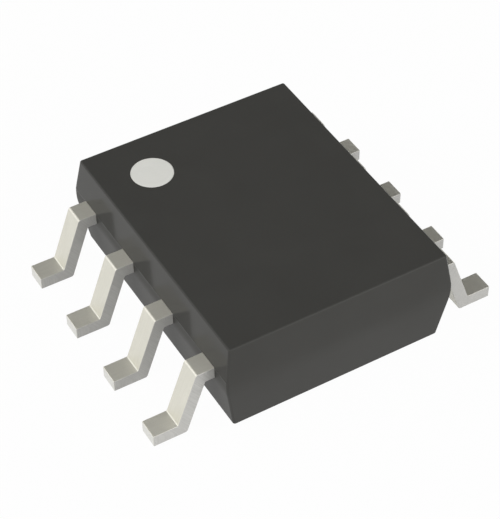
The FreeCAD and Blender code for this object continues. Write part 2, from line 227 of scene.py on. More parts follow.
# %% Drift
drift, d_in, d_out = new_effect(
    "slow_drift", (("Patch Size", NUMBER, 0.8),), (("Mask", NUMBER),)
)
NOISE_SPREAD = (0.3, 0.7)
cloud = add_noise(drift, d_in.outputs["Patch Size"], 2.0, 0.45, 0.3)
drift.links.new(add_mask(drift, cloud, *NOISE_SPREAD), d_out.inputs["Mask"])
print("drift group:", len(drift.nodes), "nodes")

# %% [markdown]
# ## Effect three: rolling lines
# The lead frame is rolled strip, and the plating keeps its fine lines: long along the strip, very
# narrow across it. Noise becomes lines when the place is squeezed along one direction first. The
# direction has to follow the strip round its bends, so the group asks for a strip coordinate, in
# millimetres along and across, which the leads' mesh carries as its map.

# %% Rolling lines
lines, l_in, l_out = new_effect(
    "rolling_lines",
    (("Strip", "NodeSocketVector", (0, 0, 0)), ("Line Length", NUMBER, 0.6),
     ("Line Width", NUMBER, 0.02)),
    (("Mask", NUMBER),),
)
split = add_node(lines, "ShaderNodeSeparateXYZ", {0: l_in.outputs["Strip"]})
along = add_node(
    lines, "ShaderNodeMath", {0: split.outputs["X"], 1: l_in.outputs["Line Length"]},
    operation="DIVIDE",
)
across = add_node(
    lines, "ShaderNodeMath", {0: split.outputs["Y"], 1: l_in.outputs["Line Width"]},
    operation="DIVIDE",
)
squeezed = add_node(
    lines, "ShaderNodeCombineXYZ", {"X": along.outputs[0], "Y": across.outputs[0]}
)
ridges = add_node(
    lines, "ShaderNodeTexNoise",
    {"Vector": squeezed.outputs[0], "Scale": 1.0, "Detail": 3.0, "Roughness": 0.55},
)
lines.links.new(
    add_mask(lines, ridges.outputs["Fac"], *NOISE_SPREAD), l_out.inputs["Mask"]
)
print("rolling lines group:", len(lines.nodes), "nodes")

# %% [markdown]
# ## The moulded compound
# The body is black epoxy full of glass powder, moulded between two steel halves that meet at the
# leads. The two long sides of the upper half are drawn smooth: they mirror the leads that stand
# close to them, which shows as a crisp dark wedge beside each shoulder. All the rest is spark
# eroded to a matt. A flat grey paint would lose all of that. So the base colour stays near the
# measured one and is moved a little by grain and drift, the roughness follows the place on the
# body, and the eroded grain is a bump of under a micrometre.

# %% Start a material
def new_material(name):
    """A material with a Principled shader; returns the material, its tree and the shader."""
    material = bpy.data.materials.new(name)
    material.use_nodes = True
    tree = material.node_tree
    return material, tree, tree.nodes["Principled BSDF"]


def place_effect(tree, group, feeds):
    """One use of an effect with its own values."""
    return add_node(tree, "ShaderNodeGroup", feeds, node_tree=group)


def blend_colours(tree, amount, low, high):
    """The colour that runs from `low` to `high` as the mask `amount` runs from 0 to 1."""
    node = add_node(tree, "ShaderNodeMix", {"Factor": amount}, data_type="RGBA")
    for label, colour in (("A", low), ("B", high)):
        socket = [s for s in node.inputs if s.name == label and s.type == "RGBA"][0]
        if isinstance(colour, bpy.types.NodeSocket):
            tree.links.new(colour, socket)
        else:
            socket.default_value = (*colour, 1)
    return [s for s in node.outputs if s.type == "RGBA"][0]


def spread_number(tree, mask, low, high):
    """A roughness or a metal share that runs from `low` to `high` with the mask."""
    node = add_node(
        tree, "ShaderNodeMapRange", {"Value": mask, "To Min": low, "To Max": high}
    )
    return node.outputs["Result"]


def blend_numbers(tree, amount, low, high):
    """One number output turns into the other as the mask runs from 0 to 1."""
    node = add_node(tree, "ShaderNodeMix", {"Factor": amount}, data_type="FLOAT")
    tree.links.new(low, node.inputs["A"])
    tree.links.new(high, node.inputs["B"])
    return node.outputs["Result"]


def add_bump(tree, height, depth, strength=1.0, under=None):
    """A bump `depth` millimetres deep; `under` is a bump that lies below it."""
    node = add_node(
        tree, "ShaderNodeBump",
        {"Strength": strength, "Distance": depth * MM, "Height": height},
    )
    if under is not None:
        tree.links.new(under, node.inputs["Normal"])
    return node.outputs["Normal"]


compound, tree, shader = new_material("mould_compound")
print("first material:", compound.name)

# %% [markdown]
# Which part of the body a point lies on follows from its place. The height tells the upper half,
# above the band in which the leads leave the body, and the top face. A long side leans in as it
# rises, so the distance across the body plus the height times that lean is the same all the way
# up it, and smaller everywhere else.

# %% Smooth sides and top face, in mm
HALF_WIDTH = 1.99
BAND = (0.935, 1.15)
SIDE_DRAFT = {"upper": math.radians(8.4), "lower": math.radians(9.8)}
LONG_SIDE_LEAN = math.tan(SIDE_DRAFT["upper"])
LONG_SIDE = HALF_WIDTH + BAND[1] * LONG_SIDE_LEAN
LONG_SIDE_BLEND = (LONG_SIDE - 0.03, LONG_SIDE - 0.01)
PARTING_BLEND = (1.12, 1.17)
TOP_BLEND = (1.722, 1.744)

texture_place = add_node(tree, "ShaderNodeTexCoord")
place = add_node(tree, "ShaderNodeSeparateXYZ", {0: texture_place.outputs["Object"]})
upper_half = add_mask(tree, place.outputs["Z"], *(level * MM for level in PARTING_BLEND))
top_face = add_mask(tree, place.outputs["Z"], *(level * MM for level in TOP_BLEND))
across = add_node(tree, "ShaderNodeMath", {0: place.outputs["X"]}, operation="ABSOLUTE")
side_reach = add_node(
    tree, "ShaderNodeMath",
    {0: place.outputs["Z"], 1: LONG_SIDE_LEAN, 2: across.outputs[0]}, operation="MULTIPLY_ADD",
)
long_side = add_mask(tree, side_reach.outputs[0], *(edge * MM for edge in LONG_SIDE_BLEND))
drawn = add_node(tree, "ShaderNodeMath", {0: upper_half, 1: long_side}, operation="MULTIPLY")
print("a long side lies at", round(LONG_SIDE, 3), "mm across plus height times lean")

# %% Compound
shader.inputs["Specular IOR Level"].default_value = 0.10
eroded = place_effect(tree, grain, {"Grain Size": 0.022, "Contrast": 1.4})
cured = place_effect(tree, drift, {"Patch Size": 0.9})
dark = blend_colours(
    tree, cured.outputs["Mask"], (0.0450, 0.0445, 0.0412), (0.0475, 0.0470, 0.0436)
)
powder = blend_colours(
    tree, cured.outputs["Mask"], (0.0490, 0.0485, 0.0450), (0.0520, 0.0515, 0.0477)
)
tree.links.new(
    blend_colours(tree, eroded.outputs["Mask"], dark, powder), shader.inputs["Base Color"]
)
smooth_side = spread_number(tree, eroded.outputs["Mask"], 0.10, 0.14)
matt_top = spread_number(tree, eroded.outputs["Mask"], 0.30, 0.38)
coarse_matt = spread_number(tree, eroded.outputs["Mask"], 0.41, 0.50)
sides = blend_numbers(tree, drawn.outputs[0], coarse_matt, smooth_side)
tree.links.new(
    blend_numbers(tree, top_face, sides, matt_top), shader.inputs["Roughness"]
)
tree.links.new(
    add_bump(tree, eroded.outputs["Height"], 0.0003), shader.inputs["Normal"]
)
print("compound:", len(tree.nodes), "nodes")

# %% [markdown]
# ## Matt tin
# The leads are copper alloy under ten micrometres of matt tin. Matt tin is a carpet of tiny
# crystals: part of the light leaves as from metal, part is scattered like chalk, which is why the
# feet stay light grey even where nothing bright is mirrored in them. A clean chrome shader goes
# black there. So the metal share is about a half, the roughness is high, the rolling lines show
# through as faint streaks along the strip, and a slow drift makes no two leads quite alike. The
# stamp shears the two long edges of the strip. Sheared metal is torn, so it scatters far more than
# it mirrors: its metal share is a fifth, and the body's shade falls on it as on chalk. Its colour
# is also painted darker than the rolled faces, a painted shade. The cut tip has no rolling lines;
# its colour is painted a little lighter than the rolled faces, a painted highlight.

# %% Tin
tin, tree, shader = new_material("tinned_lead")
strip_map = add_node(tree, "ShaderNodeUVMap", uv_map="strip")
crystals = place_effect(tree, grain, {"Grain Size": 0.016, "Contrast": 1.5})
cloudy = place_effect(tree, drift, {"Patch Size": 0.35})
rolled = place_effect(
    tree, lines,
    {"Strip": strip_map.outputs["UV"], "Line Length": 0.5, "Line Width": 0.016},
)
pale = blend_colours(tree, cloudy.outputs["Mask"], (0.655, 0.64, 0.565), (0.68, 0.665, 0.59))
streaked = blend_colours(tree, rolled.outputs["Mask"], (0.59, 0.577, 0.51), pale)
rolled_face = blend_colours(tree, crystals.outputs["Mask"], streaked, pale)
# Painted shade: the sheared sides' colour is set darker than the rolled faces, for light they miss.
sheared_face_painted_shade = blend_colours(
    tree, rolled.outputs["Mask"], (0.43, 0.425, 0.404), (0.52, 0.514, 0.489)
)
# Painted highlight: the cut tip has no rolling lines, and its colour is set a little lighter.
cut_tip_painted_highlight = blend_colours(
    tree, crystals.outputs["Mask"], (0.65, 0.645, 0.61), (0.71, 0.705, 0.67)
)
print("colours of the tin:", len(tree.nodes), "nodes")

# %% Sheared sides and cut tip
SHEARED_TURN = (0.45, 0.9)
CUT_TURN = (0.955, 0.99)

surface = add_node(tree, "ShaderNodeNewGeometry")
facing = add_node(tree, "ShaderNodeSeparateXYZ", {0: surface.outputs["True Normal"]})
sideways = add_node(tree, "ShaderNodeMath", {0: facing.outputs["Y"]}, operation="ABSOLUTE")
outward = add_node(tree, "ShaderNodeMath", {0: facing.outputs["X"]}, operation="ABSOLUTE")
sheared = add_mask(tree, sideways.outputs[0], *SHEARED_TURN)
cut = add_mask(tree, outward.outputs[0], *CUT_TURN)
# Faces that look along y, the sheared sides, take their painted shade here.
with_sides = blend_colours(tree, sheared, rolled_face, sheared_face_painted_shade)
# Faces that look along x, the cut tip, take their painted highlight here.
tree.links.new(blend_colours(tree, cut, with_sides, cut_tip_painted_highlight), shader.inputs["Base Color"])
tree.links.new(spread_number(tree, sheared, 0.55, 0.2), shader.inputs["Metallic"])
tree.links.new(
    spread_number(tree, rolled.outputs["Mask"], 0.52, 0.40), shader.inputs["Roughness"]
)
crystal_bump = add_bump(tree, crystals.outputs["Height"], 0.0012)
tree.links.new(
    add_bump(tree, rolled.outputs["Mask"], 0.0012, 0.6, crystal_bump), shader.inputs["Normal"]
)
print("tin:", len(tree.nodes), "nodes")

# %% [markdown]
# ## Mark ink
# The round mark beside pin 1 is a pad of pale, warm grey ink. Printed ink is dead matt and lies
# a little thinner in places, so its colour drifts and its surface is finely pebbled.

# %% Ink
ink, tree, shader = new_material("mark_ink")
pebbles = place_effect(tree, grain, {"Grain Size": 0.03, "Contrast": 1.2})
laid = place_effect(tree, drift, {"Patch Size": 0.3})
thin = blend_colours(tree, laid.outputs["Mask"], (0.63, 0.63, 0.592), (0.67, 0.67, 0.63))
tree.links.new(
    blend_colours(tree, pebbles.outputs["Mask"], thin, (0.66, 0.66, 0.62)),
    shader.inputs["Base Color"],
)
tree.links.new(
    spread_number(tree, pebbles.outputs["Mask"], 0.55, 0.7), shader.inputs["Roughness"]
)
tree.links.new(add_bump(tree, pebbles.outputs["Height"], 0.002), shader.inputs["Normal"])
print("ink:", len(tree.nodes), "nodes")

# %% [markdown]
# ## Finishes inside the body
# Nothing inside shows while the body is whole, but the pieces are there, and anyone who hides the
# body sees them. Each gets its own metal or resin from the same two effects.

# %% Inner finishes
INNER = {
    "plated_copper": ((0.66, 0.42, 0.27), (0.74, 0.48, 0.31), 1.0, 0.30, 0.42, 0.03),
    "die_adhesive": ((0.40, 0.40, 0.39), (0.50, 0.50, 0.49), 0.4, 0.45, 0.65, 0.02),
    "silicon": ((0.13, 0.14, 0.16), (0.19, 0.20, 0.22), 0.7, 0.12, 0.20, 0.05),
    "gold_wire": ((0.80, 0.56, 0.21), (0.86, 0.64, 0.27), 1.0, 0.18, 0.28, 0.01),
}
finishes = {"mould_compound": compound, "tinned_lead": tin, "mark_ink": ink}
for name, (low, high, metal, smooth, rough, size) in INNER.items():
    finish, tree, shader = new_material(name)
    shader.inputs["Metallic"].default_value = metal
    fine = place_effect(tree, grain, {"Grain Size": size, "Contrast": 1.3})
    slow = place_effect(tree, drift, {"Patch Size": size * 20})
    tree.links.new(
        blend_colours(tree, slow.outputs["Mask"], low, high), shader.inputs["Base Color"]
    )
    tree.links.new(
        spread_number(tree, fine.outputs["Mask"], smooth, rough),
        shader.inputs["Roughness"],
    )
    tree.links.new(
        add_bump(tree, fine.outputs["Height"], size * 0.02), shader.inputs["Normal"]
    )
    finishes[name] = finish
print("finishes:", sorted(finishes))

# %% [markdown]
# ## The pieces inside keep their solids
# The die, its adhesive, the die pad and the wires already have their real shapes, so their meshes
# stay and only take a finish.

# %% Dress the solids
FINISH_OF = {
    "die_pad": "plated_copper",
    "die_attach": "die_adhesive",
    "die": "silicon",
}
for pin in range(1, 9):
    FINISH_OF[f"bond_wire_{pin}"] = "gold_wire"
for node_name, finish_name in FINISH_OF.items():
    for slot in frame["nodes"][node_name].material_slots:
        slot.material = finishes[finish_name]
print("solids dressed:", len(FINISH_OF))

# %% [markdown]
# ## A shell with its own normals
# The body and the leads are both flat faces with small rounded edges. Averaged normals make such
# faces look slightly swollen. So each point brings a normal of its own, worked out with the point:
# broad faces stay dead flat, and only the rounded edges catch the light. A small class collects
# points, faces, one normal and one map place for each corner of a face, and makes the mesh.

# %% Shell
class Shell:
    """Collects points, faces, one normal and one map place for each corner of each face."""

    def __init__(self):
        self.points = []
        self.faces = []
        self.normals = []
        self.map = []

    def add_points(self, points):
        first = len(self.points)
        self.points.extend(points)
        return list(range(first, len(self.points)))

    def add_face(self, corners, normals, places=None):
        self.faces.append(corners)
        self.normals.extend(normals)
        self.map.extend(places or [(0.0, 0.0)] * len(corners))

    def finish(self, name, turn=0.0, shift=Vector()):
        """The mesh object: turned about z and moved, with its normals and its map."""
        rotate = Matrix.Rotation(turn, 3, "Z")
        mesh = bpy.data.meshes.new(name)
        mesh.from_pydata([(rotate @ p + shift) * MM for p in self.points], [], self.faces)
        layer = mesh.uv_layers.new(name="strip")
        for corner, place in enumerate(self.map):
            layer.data[corner].uv = place
        mesh.shade_smooth()
        mesh.normals_split_custom_set([rotate @ n for n in self.normals])
        made = bpy.data.objects.new(name, mesh)
        studio.collection.objects.link(made)
        return made


def circle_points(centre, radius, level, count):
    """Points round a circle at one height, counted anticlockwise from +x."""
    points = []
    for step in range(count):
        turn = 2 * math.pi * step / count
        across = centre[0] + radius * math.cos(turn)
        along = centre[1] + radius * math.sin(turn)
        points.append(Vector((across, along, level)))
    return points


print("ready:", Shell.__name__, "and", circle_points.__name__)

# %% [markdown]
# ## The moulded body
# The sides lean in above and below the leads so that the body leaves its mould, and in the
# picture the lean changes softly, without a line: the end face is one even grey from top to
# bottom. A stack of flat drafted faces would draw two lines there. So the body is a stack of
# rounded rectangles, close together where the side curves from one lean to the other, and the
# normal at each point follows from how fast the stack widens there. The top is filled round the
# seat of the ink, and the underside round the two shallow marks of the ejector pins.

# %% Outline of the body, in mm
BODY_TOP = 1.75
BODY_BOTTOM = 0.05
HALF_LENGTH = 2.465
END_DRAFT = {"upper": math.radians(7.4), "lower": math.radians(5.9)}
SIDE_TURN = {"upper": 0.012, "lower": 0.1}
END_TURN = {"upper": 0.16, "lower": 0.16}
CORNER_RADIUS = 0.04
BROKEN_EDGE = 0.03
SHARPEST_CORNER = 0.004
CORNER_STEPS = 6
TURN_STEPS = 16
BREAK_STEPS = 5


def inset_at(level, draft, turn):
    """How far a side stands inside the widest outline at a height, and how fast that grows."""
    inset = 0.0
    growth = 0.0
    for half, edge, way in (("upper", BAND[1], 1), ("lower", BAND[0], -1)):
        ahead = (level - edge) * way
        lean = math.tan(draft[half])
        soft = turn[half]
        if ahead > soft:
            inset += lean * ahead
            growth += lean * way
        elif ahead > -soft:
            part = (ahead + soft) / (2 * soft)
            inset += lean * soft * part**2
            growth += lean * way * part
    return inset, growth


def body_ring(level, edge_inset=0.0, tilt=None):
    """One rounded rectangle of the stack, with its normals."""
    inset_x, growth_x = inset_at(level, SIDE_DRAFT, SIDE_TURN)
    inset_y, growth_y = inset_at(level, END_DRAFT, END_TURN)
    radius = max(CORNER_RADIUS - edge_inset, SHARPEST_CORNER)
    reach_x = HALF_WIDTH - inset_x - edge_inset - radius
    reach_y = HALF_LENGTH - inset_y - edge_inset - radius
    points = []
    normals = []
    for quarter, (way_x, way_y) in enumerate(((1, 1), (-1, 1), (-1, -1), (1, -1))):
        for step in range(CORNER_STEPS + 1):
            turn = math.radians(90) * (quarter + step / CORNER_STEPS)
            across = Vector((math.cos(turn), math.sin(turn), 0))
            points.append(
                Vector((way_x * reach_x, way_y * reach_y, level)) + across * radius
            )
            if tilt is None:
                rise = growth_x * abs(across.x) + growth_y * abs(across.y)
                normals.append((across + Vector((0, 0, rise))).normalized())
            else:
                normals.append(across * math.cos(tilt) + Vector((0, 0, math.sin(tilt))))
    return points, normals


print("sides lean in by", round(inset_at(BODY_TOP, SIDE_DRAFT, SIDE_TURN)[0], 3), "mm to the top")

# %% Stack of rings
EDGE_START = 8
EDGE_SWEEP = 90 - EDGE_START

stack = []
for step in range(BREAK_STEPS + 1):
    tilt = math.radians(-90 + EDGE_SWEEP * step / BREAK_STEPS)
    stack.append(
        body_ring(
            BODY_BOTTOM + BROKEN_EDGE * (1 + math.sin(tilt)),
            BROKEN_EDGE * (1 - math.cos(tilt)), tilt,
        )
    )
levels = set()
for edge, half in zip(BAND, ("lower", "upper")):
    for turn in (SIDE_TURN[half], END_TURN[half]):
        for step in range(TURN_STEPS + 1):
            levels.add(round(edge + turn * (2 * step / TURN_STEPS - 1), 5))
stack.extend(body_ring(level) for level in sorted(levels))
for step in range(BREAK_STEPS + 1):
    tilt = math.radians(EDGE_START + EDGE_SWEEP * step / BREAK_STEPS)
    stack.append(
        body_ring(
            BODY_TOP - BROKEN_EDGE * (1 - math.sin(tilt)),
            BROKEN_EDGE * (1 - math.cos(tilt)), tilt,
        )
    )
print("rings in the body:", len(stack), "with", len(stack[0][0]), "points each")

# %% Walls of the body
moulded = Shell()
rows = [moulded.add_points(points) for points, _ in stack]
ring_size = len(rows[0])
for number in range(len(rows) - 1):
    for step in range(ring_size):
        following = (step + 1) % ring_size
        corners = (
            (number, step), (number, following), (number + 1, following), (number + 1, step)
        )
        moulded.add_face(
            [rows[row][point] for row, point in corners],
            [stack[row][1][point] for row, point in corners],
        )
print("faces in the walls:", len(moulded.faces))

# %% [markdown]
# The ink lies in a shallow seat, and the two pins that push the body out of its mould leave two
# shallow marks in the underside. A boolean would cut such pockets too, but it would leave long
# thin triangles and throw the normals away. So each flat face is filled with triangles round its
# pockets at once, and every pocket gets a wall and a floor.

# %% Seat and ejector marks, in mm
MARK_AT = Vector((-1.04, 1.54, BODY_TOP))
MARK_RADIUS = 0.35
MARK_DEPTH = 0.03
SEAT_POINTS = 96
EJECTOR_RADIUS = 0.45
EJECTOR_DEPTH = 0.03
EJECTOR_PLACES = ((0.0, 1.3), (0.0, -1.3))
EJECTOR_POINTS = 64


def add_pocket(shell, rim, centre, radius, level, up):
    """The wall and the floor of a pocket whose floor lies at `level`."""
    floor = shell.add_points(circle_points(centre, radius, level, len(rim)))
    for step in range(len(rim)):
        following = (step + 1) % len(rim)
        face = [rim[step], rim[following], floor[following], floor[step]]
        inward = []
        for corner in face:
            point = shell.points[corner]
            inward.append(Vector((centre[0] - point.x, centre[1] - point.y, 0)).normalized())
        if up < 0:
            face.reverse()
            inward.reverse()
        shell.add_face(face, inward)
    if up < 0:
        floor.reverse()
    shell.add_face(floor, [Vector((0, 0, up))] * len(floor))


def close_face(shell, outline, pockets, level, up):
    """Fills a flat face round its pockets, then adds each pocket's wall and floor."""
    rims = []
    for centre, radius, _, count in pockets:
        rims.append(shell.add_points(circle_points(centre, radius, level, count)))
    order = [*outline]
    for rim in rims:
        order.extend(rim)
    loops = [[shell.points[p] for p in loop] for loop in (outline, *rims)]
    for triangle in tessellate_polygon(loops):
        face = [order[corner] for corner in triangle]
        a, b, c = (shell.points[p] for p in face)
        if (b - a).cross(c - a).z * up < 0:
            face.reverse()
        shell.add_face(face, [Vector((0, 0, up))] * 3)
    for rim, (centre, radius, depth, _) in zip(rims, pockets):
        add_pocket(shell, rim, centre, radius, level - up * depth, up)


print("pockets in the underside:", len(EJECTOR_PLACES))

# %% Top and underside
close_face(
    moulded, rows[-1], [((MARK_AT.x, MARK_AT.y), MARK_RADIUS, MARK_DEPTH, SEAT_POINTS)],
    BODY_TOP, 1,
)
close_face(
    moulded, rows[0],
    [(place, EJECTOR_RADIUS, EJECTOR_DEPTH, EJECTOR_POINTS) for place in EJECTOR_PLACES],
    BODY_BOTTOM, -1,
)
body = moulded.finish("moulded_body")
body.data.materials.append(compound)
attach(body, "root")
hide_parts("mould_body")
print("faces in the body:", len(body.data.polygons))

# %% [markdown]
# ## The leads
# A lead is one strip, stamped out and bent twice. Stamping rolls the upper edges over and leaves
# the lower ones crisper; a box with sharp edges misses exactly that. A box with a bevel modifier
# would round every edge alike and lose the direction of the strip. So the strip is built as a row
# of rings, each a rectangle with rounded corners that stands square to the strip, and the rings
# follow the two faces of the real bends: the outside of a bend is rounder than its inside. The
# same rings give the map along the strip that the rolling lines need. Inside the body each lead
# widens to a paddle, which the corner leads have nearer to the middle than the others.

# %% Sizes of a lead, in mm
PITCH = 1.27
HALF_SPAN = 3.05
STRIP = 0.215
WIDTH = 0.365
SHOULDER_TOP = 1.15
FOOT = 0.57
LEAN = math.radians(19.8)
OUTSIDE_BEND = 0.05
INSIDE_BEND = 0.03
ROLLED_EDGE = 0.010
CRISP_EDGE = 0.008
TIP_EDGE = 0.010
FINEST_EDGE = 0.002
BEND_STEPS = 8
EDGE_STEPS = 3
PADDLE_END = 1.77
PADDLE_STEP = 0.002
PADDLES = {"corner": (0.55, 0.46), "inner": (1.32, 0.62)}
LOCK_HOLE = (1.53, 0.09)
HOLE_FRAME = 0.14

heel = HALF_SPAN - FOOT
slope = math.tan(LEAN)
leg_back = STRIP / math.cos(LEAN)
upper_turns = (
    (heel - SHOULDER_TOP * slope + leg_back, SHOULDER_TOP),
    (heel - STRIP * slope + leg_back, STRIP),
)
lower_turns = ((heel - (SHOULDER_TOP - STRIP) * slope, SHOULDER_TOP - STRIP), (heel, 0.0))
print("upper face turns at, mm:", [tuple(round(v, 3) for v in p) for p in upper_turns])


# %% Stations along the strip
def bend_points(corner, radius, first, last, hollow):
    """Points round one bend between two face directions, as angles of the face's normal."""
    half_turn = abs(first - last) / 2
    reach = radius * math.tan(half_turn)
    start = Vector(corner) - reach * Vector((math.sin(first), -math.cos(first)))
    inward = Vector((math.cos(first), math.sin(first))) * (1 if hollow else -1)
    middle = start + inward * radius
    points = []
    for step in range(BEND_STEPS + 1):
        angle = first + (last - first) * step / BEND_STEPS
        outward = Vector((math.cos(angle), math.sin(angle))) * (-1 if hollow else 1)
        points.append((middle + outward * radius, angle))
    return points


UP = math.radians(90)


def strip_stations(kind):
    """(upper point, lower point, angle of the normal, half width) from the paddle to the tip."""
    paddle_start, paddle_width = PADDLES[kind]
    low = SHOULDER_TOP - STRIP
    stations = []
    marks = [paddle_start]
    if kind == "corner":
        hole_x = LOCK_HOLE[0]
        marks += [hole_x - HOLE_FRAME, hole_x + HOLE_FRAME]
    marks += [PADDLE_END]
    for x in marks:
        stations.append((Vector((x, SHOULDER_TOP)), Vector((x, low)), UP, paddle_width / 2))
    neck = PADDLE_END + PADDLE_STEP
    stations.append((Vector((neck, SHOULDER_TOP)), Vector((neck, low)), UP, WIDTH / 2))
    over = bend_points(upper_turns[0], OUTSIDE_BEND, UP, LEAN, False)
    under = bend_points(lower_turns[0], INSIDE_BEND, UP, LEAN, False)
    for (top, angle), (bottom, _) in zip(over, under):
        stations.append((top, bottom, angle, WIDTH / 2))
    over = bend_points(upper_turns[1], INSIDE_BEND, LEAN, UP, True)
    under = bend_points(lower_turns[1], OUTSIDE_BEND, LEAN, UP, True)
    for (top, angle), (bottom, _) in zip(over, under):
        stations.append((top, bottom, angle, WIDTH / 2))
    end = HALF_SPAN - TIP_EDGE
    stations.append((Vector((end, STRIP)), Vector((end, 0.0)), UP, WIDTH / 2))
    return stations


for kind in PADDLES:
    print(kind, "lead:", len(strip_stations(kind)), "stations")

# %% One ring of the strip
CORNERS = ((1, 1, ROLLED_EDGE), (-1, 1, ROLLED_EDGE), (-1, -1, CRISP_EDGE), (1, -1, CRISP_EDGE))
POINTS_A_CORNER = EDGE_STEPS + 1
RING = 4 * POINTS_A_CORNER


def make_ring(station, inset=0.0):
    """The points and normals of one ring, counted from the +y side over the upper face."""
    top, bottom, angle, half = station
    up = Vector((math.cos(angle), 0, math.sin(angle)))
    points = []
    normals = []
    for number, (side, level, radius) in enumerate(CORNERS):
        face = top if level > 0 else bottom
        edge = max(radius - inset, FINEST_EDGE)
        centre = Vector((face.x, side * (half - inset - edge), face.y))
        centre -= level * up * (inset + edge)
        for step in range(POINTS_A_CORNER):
            turn = math.radians(90) * step / EDGE_STEPS
            if number % 2:
                turn = math.radians(90) - turn
            normal = Vector((0, side * math.cos(turn), 0)) + level * up * math.sin(turn)
            points.append(centre + normal * edge)
            normals.append(normal)
    return points, normals


print("points in a ring:", RING)

# %% [markdown]
# The corner leads carry a lock hole in their paddle. A hole cut with a boolean would leave long
# thin triangles and throw the normals away. Here the two flat faces over the hole are left out and
# filled with four faces each that run from the rectangle to the circle.

# %% The lock hole
HOLE_POINTS = 16


def add_lock_hole(shell, before, after, places):
    """Fills the gap between two rings with faces round a hole, and adds the hole's wall."""
    centre_x, radius = LOCK_HOLE
    circles = []
    for level in (SHOULDER_TOP, SHOULDER_TOP - STRIP):
        circles.append(shell.add_points(circle_points((centre_x, 0), radius, level, HOLE_POINTS)))
    last = POINTS_A_CORNER - 1
    frames = (
        (before[last], before[last + 1], after[last], after[last + 1]),
        (
            before[3 * POINTS_A_CORNER],
            before[3 * POINTS_A_CORNER - 1],
            after[3 * POINTS_A_CORNER],
            after[3 * POINTS_A_CORNER - 1],
        ),
    )
    eighth = HOLE_POINTS // 8
    for circle, (near_plus, near_minus, far_plus, far_minus), level in zip(
        circles, frames, (1, -1)
    ):
        sides = (
            (far_minus, far_plus, 1 * eighth),
            (far_plus, near_plus, 3 * eighth),
            (near_plus, near_minus, 5 * eighth),
            (near_minus, far_minus, 7 * eighth),
        )
        for start, end, arc in sides:
            run = [circle[(arc - step) % HOLE_POINTS] for step in range(2 * eighth + 1)]
            face = [start, end, *run]
            if level < 0:
                face.reverse()
            normal = Vector((0, 0, level))
            shell.add_face(face, [normal] * len(face), [places] * len(face))
    upper, lower = circles
    for step in range(HOLE_POINTS):
        following = (step + 1) % HOLE_POINTS
        face = [upper[step], upper[following], lower[following], lower[step]]
        inward = []
        for corner in face:
            axis = Vector((centre_x, 0, shell.points[corner].z))
            inward.append((axis - shell.points[corner]).normalized())
        shell.add_face(face, inward, [places] * 4)


print("lock hole, diameter in mm:", 2 * LOCK_HOLE[1])


# %% Rings of one lead
def lead_rings(kind):
    """(points, normals, length of strip so far) for each ring; the last few round the tip off."""
    stations = strip_stations(kind)
    rings = []
    length = 0.0
    middle = (stations[0][0] + stations[0][1]) / 2
    for station in stations:
        points, normals = make_ring(station)
        here = (station[0] + station[1]) / 2
        length += (here - middle).length
        middle = here
        rings.append((points, normals, length))
    for step in range(1, EDGE_STEPS + 1):
        lean_over = math.radians(90) * step / EDGE_STEPS
        top, bottom, angle, half = stations[-1]
        ahead = Vector((TIP_EDGE * math.sin(lean_over), 0))
        inset = TIP_EDGE * (1 - math.cos(lean_over))
        points, normals = make_ring((top + ahead, bottom + ahead, angle, half), inset)
        outward = Vector((1, 0, 0))
        normals = [n * math.cos(lean_over) + outward * math.sin(lean_over) for n in normals]
        rings.append((points, normals, length + TIP_EDGE * lean_over))
    return rings


print("length of a corner lead's strip, mm:", round(lead_rings("corner")[-1][2], 3))


# %% One lead
def make_lead(name, kind, turn, shift, offset):
    """One lead as a row of rings with closed ends; `offset` gives it its own stretch of map."""
    rings = lead_rings(kind)
    shell = Shell()
    rows = [shell.add_points(points) for points, _, _ in rings]
    outline = rings[-EDGE_STEPS - 1][0]
    across = [0.0]
    for step in range(RING):
        across.append(across[-1] + (outline[(step + 1) % RING] - outline[step]).length)
    side_faces = (RING - 1, 2 * POINTS_A_CORNER - 1)
    flat_faces = (POINTS_A_CORNER - 1, 3 * POINTS_A_CORNER - 1)
    for row in range(len(rows) - 1):
        holed = kind == "corner" and row == 1
        for step in range(RING):
            if holed and step in flat_faces:
                continue
            following = (step + 1) % RING
            corners = ((row, step, step), (row, following, step + 1),
                       (row + 1, following, step + 1), (row + 1, step, step))
            places = []
            for at, _, mark in corners:
                place = (rings[at][2] + offset, across[mark] + offset)
                places.append((place[1], place[0]) if step in side_faces else place)
            shell.add_face(
                [rows[at][point] for at, point, _ in corners],
                [rings[at][1][point] for at, point, _ in corners],
                places,
            )
        if holed:
            add_lock_hole(shell, rows[row], rows[row + 1], (offset, offset))
    for row, outward in ((0, Vector((-1, 0, 0))), (len(rows) - 1, Vector((1, 0, 0)))):
        face = list(rows[row])
        if outward.x < 0:
            face.reverse()
        places = [(shell.points[p].z + offset, shell.points[p].y + offset) for p in face]
        shell.add_face(face, [outward] * len(face), places)
    return shell.finish(name, turn, shift)


# %% All eight leads
LEADS_IN_A_ROW = 4
MAP_OFFSET = 7.3
for pin in range(1, 2 * LEADS_IN_A_ROW + 1):
    step = (pin - 1) % LEADS_IN_A_ROW
    near_row = pin <= LEADS_IN_A_ROW
    along_row = ((LEADS_IN_A_ROW - 1) / 2 - step) * PITCH * (1 if near_row else -1)
    kind = "corner" if step in (0, LEADS_IN_A_ROW - 1) else "inner"
    lead = make_lead(
        f"formed_lead_{pin}", kind, math.pi if near_row else 0.0,
        Vector((0, along_row, 0)), MAP_OFFSET * pin,
    )
    lead.data.materials.append(tin)
    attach(lead, "root")
    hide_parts(f"lead_{pin}")
print("faces in the last lead:", len(lead.data.polygons))

# %% [markdown]
# ## The round mark
# The mark is a spot of ink laid into a shallow seat in the top. Surface tension draws its rim
# down and leaves it a hair lower and less even than its middle. A flat disc would look like a
# sticker, so the spot is a disc of rings whose rim is rolled over and whose height wavers.

# %% Profile of the mark, in mm
MARK_ROLL = 0.012
ROLL_STEPS = 3
MARK_RINGS = 14

